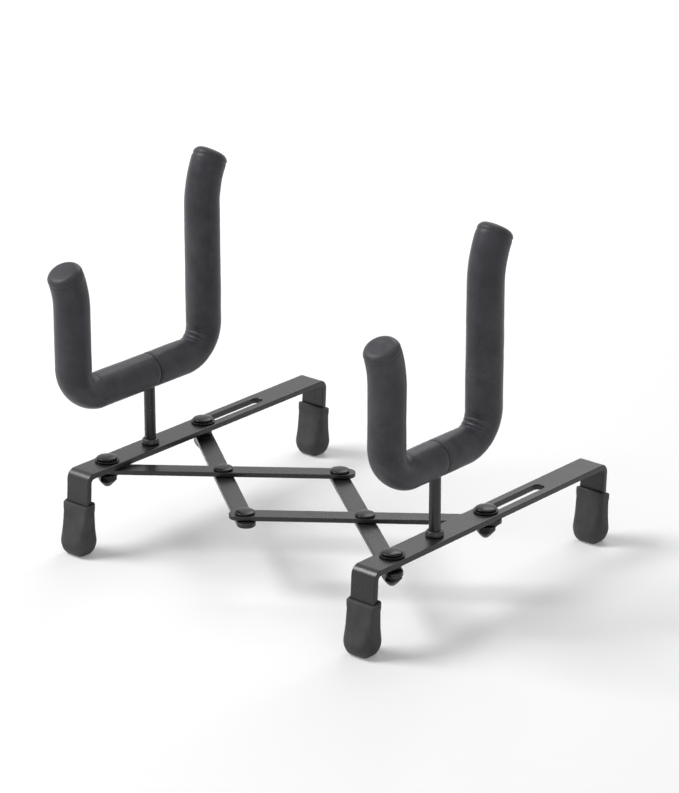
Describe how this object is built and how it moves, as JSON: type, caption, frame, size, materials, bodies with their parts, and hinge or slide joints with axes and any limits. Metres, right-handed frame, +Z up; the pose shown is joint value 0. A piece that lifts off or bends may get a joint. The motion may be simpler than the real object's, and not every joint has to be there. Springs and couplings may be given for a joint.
{
  "type": "folding instrument stand",
  "caption": "Low folding table stand for a violin: steel side rails on rubber feet, a flat scissor linkage between them and a foam-padded U cradle on a post over each rail.",
  "frame": {"origin": "On the floor under the middle of the opened stand's bounding box.", "axes": "+X across the stand from the wide cradle to the narrow one, +Y from the low front arms to the tall back arms, +Z up."},
  "size_m": [0.1702, 0.166, 0.1587],
  "materials": {
    "painted_steel": "satin black",
    "fasteners": "gloss black",
    "rubber": "matte",
    "foam": "matte closed-cell foam rubber"
  },
  "bodies": {
    "left_side": {"left_rail": "painted_steel", "left_front_foot": "rubber", "left_rear_foot": "rubber", "left_post": "painted_steel", "left_post_collar": "painted_steel", "left_cradle_rod": "painted_steel", "left_front_sleeve": "foam", "left_back_sleeve": "foam", "left_front_pivot_bolt": "fasteners", "left_front_pivot_head_washer": "fasteners", "left_front_pivot_nut": "fasteners", "left_front_pivot_foot_washer": "fasteners"},
    "link_a_body": {"link_a": "painted_steel", "left_crossing_rivet": "fasteners", "back_middle_rivet": "fasteners"},
    "link_b_body": {"link_b": "painted_steel", "front_middle_rivet": "fasteners", "left_sliding_pivot_bolt": "fasteners", "left_sliding_pivot_head_washer": "fasteners", "left_sliding_pivot_nut": "fasteners", "left_sliding_pivot_spacer": "fasteners"},
    "link_c_body": {"link_c": "painted_steel", "right_crossing_rivet": "fasteners", "right_sliding_pivot_bolt": "fasteners", "right_sliding_pivot_head_washer": "fasteners", "right_sliding_pivot_nut": "fasteners", "right_sliding_pivot_foot_washer": "fasteners"},
    "link_d_body": {"link_d": "painted_steel"},
    "right_side": {"right_rail": "painted_steel", "right_front_foot": "rubber", "right_rear_foot": "rubber", "right_post": "painted_steel", "right_post_collar": "painted_steel", "right_cradle_rod": "painted_steel", "right_front_sleeve": "foam", "right_back_sleeve": "foam", "right_front_pivot_bolt": "fasteners", "right_front_pivot_head_washer": "fasteners", "right_front_pivot_nut": "fasteners", "right_front_pivot_spacer": "fasteners"}
  },
  "joints": [
    {"name": "fold", "type": "hinge", "parent": "left_side", "child": "link_a_body", "pos_m": [-0.07735, -0.05446, 0.0312], "axis": [0, 0, 1], "range_deg": [0, 38]},
    {"name": "left_crossing", "type": "hinge", "parent": "link_a_body", "child": "link_b_body", "pos_m": [-0.03868, -0.02478, 0.0312], "axis": [0, 0, 1], "range_deg": [-76, 0]},
    {"name": "front_middle", "type": "hinge", "parent": "link_b_body", "child": "link_c_body", "pos_m": [0, -0.05446, 0.0312], "axis": [0, 0, 1], "range_deg": [0, 76]},
    {"name": "right_crossing", "type": "hinge", "parent": "link_c_body", "child": "link_d_body", "pos_m": [0.03868, -0.02478, 0.0312], "axis": [0, 0, 1], "range_deg": [-76, 0]},
    {"name": "right_front", "type": "hinge", "parent": "link_d_body", "child": "right_side", "pos_m": [0.07735, -0.05446, 0.0312], "axis": [0, 0, 1], "range_deg": [0, 38]}
  ],
  "couplings": [
    {"joint": "left_crossing", "follows": "fold", "ratio": -2},
    {"joint": "front_middle", "follows": "fold", "ratio": 2},
    {"joint": "right_crossing", "follows": "fold", "ratio": -2},
    {"joint": "right_front", "follows": "fold", "ratio": 1}
  ]
}
